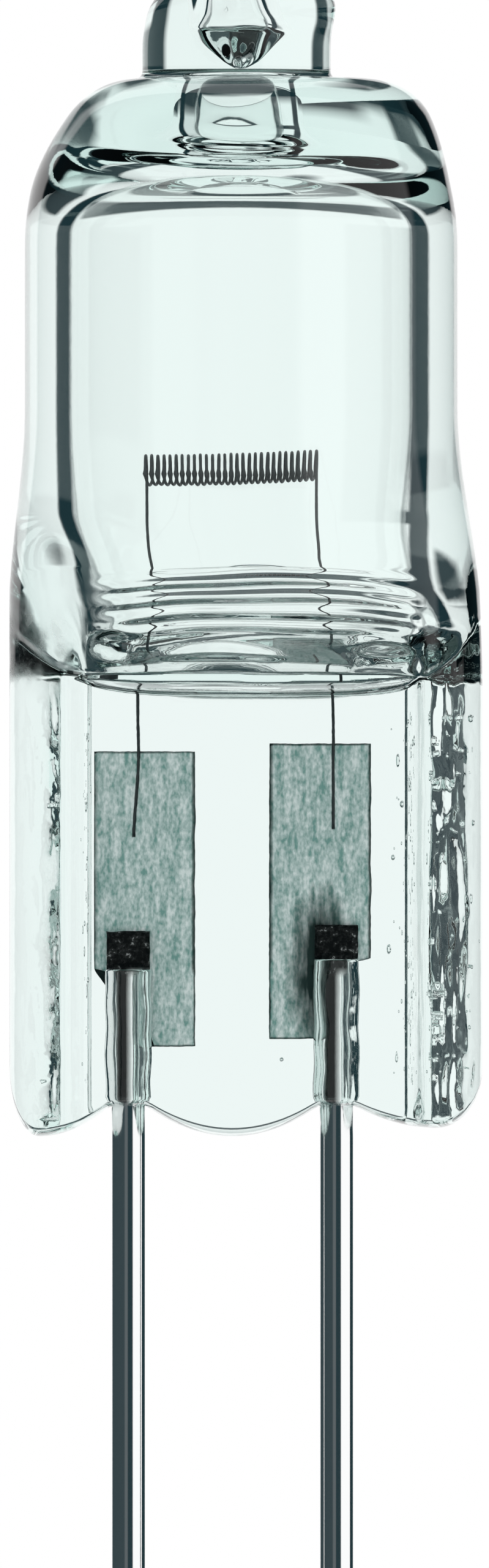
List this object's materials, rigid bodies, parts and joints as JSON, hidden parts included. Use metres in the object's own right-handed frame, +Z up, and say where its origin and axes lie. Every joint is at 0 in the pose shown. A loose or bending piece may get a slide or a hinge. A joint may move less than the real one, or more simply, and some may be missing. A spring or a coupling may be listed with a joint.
{
  "type": "halogen capsule bulb",
  "caption": "Clear quartz halogen capsule bulb with a pinched foot, a cross-wise filament coil and straight plug-in pins.",
  "frame": {"origin": "midway between the two pins, level with the lowest edge of the pinched glass seal", "axes": "+Z up from the pins to the exhaust tip, +X from the left pin to the right pin, Y square to the flat faces of the seal"},
  "size_m": [0.0091, 0.0084, 0.0313],
  "materials": {
    "quartz": "clear fused silica, flame polished",
    "tungsten": "drawn tungsten wire, dark and satin",
    "foil": "etched molybdenum foil, matt and speckled",
    "pin": "drawn molybdenum wire, smooth and bright"
  },
  "bodies": {
    "root": {"envelope": "quartz", "filament": "tungsten", "foil_left": "foil", "foil_right": "foil", "pin_left": "pin", "pin_right": "pin"}
  },
  "joints": []
}
